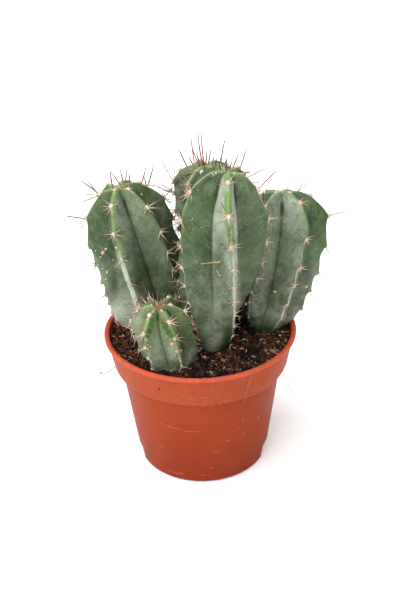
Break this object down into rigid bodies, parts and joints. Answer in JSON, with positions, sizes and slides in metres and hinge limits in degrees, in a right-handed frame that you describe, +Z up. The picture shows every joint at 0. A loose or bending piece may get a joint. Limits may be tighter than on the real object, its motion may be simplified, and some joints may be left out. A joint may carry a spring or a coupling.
{
  "type": "potted columnar cactus",
  "caption": "Clump of ribbed, spined cactus stems growing from peat in a tapered plastic nursery pot with a wide collar and drain recesses.",
  "frame": {"origin": "centre of the pot's flat underside, on the surface it stands on", "axes": "+Z up through the pot, -Y towards the side with the small offset stem, +X to the right seen from that side"},
  "size_m": [0.1697, 0.132, 0.2164],
  "materials": {
    "terracotta_plastic": "satin",
    "peat": "rough",
    "cactus_skin": "satin"
  },
  "bodies": {
    "root": {"pot": "terracotta_plastic", "soil": "peat", "stem_left": "cactus_skin", "stem_centre": "cactus_skin", "stem_back": "cactus_skin", "stem_right": "cactus_skin", "stem_small": "cactus_skin"}
  },
  "joints": []
}
